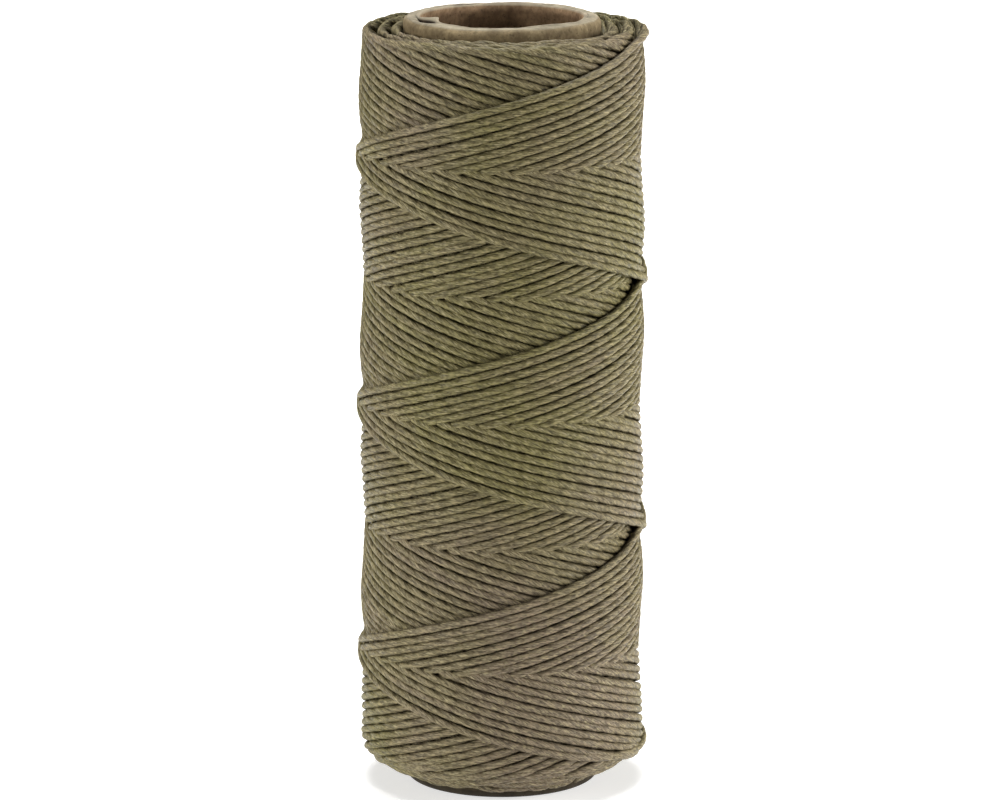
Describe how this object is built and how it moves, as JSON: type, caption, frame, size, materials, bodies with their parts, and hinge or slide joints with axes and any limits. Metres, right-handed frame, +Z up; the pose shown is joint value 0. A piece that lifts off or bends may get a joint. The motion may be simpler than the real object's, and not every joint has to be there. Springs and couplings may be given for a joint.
{
  "type": "twine spool",
  "caption": "Waxed twine cross-wound on a plain paperboard tube with an open bore, standing on the tube's end.",
  "frame": {"origin": "centre of the tube's lower end, on the surface that the spool stands on", "axes": "+Z up along the tube's axis; +X and +Y are free, as the spool is round"},
  "size_m": [0.035, 0.035, 0.095],
  "materials": {
    "paper_liner": "smooth kraft paper",
    "board": "raw paperboard edge",
    "paper_wrap": "matt kraft paper",
    "twine": "waxed, with a soft sheen"
  },
  "bodies": {
    "root": {"core_liner_ply": "paper_liner", "core_board_ply": "board", "core_wrap_ply": "paper_wrap", "twine_winding": "twine"}
  },
  "joints": []
}
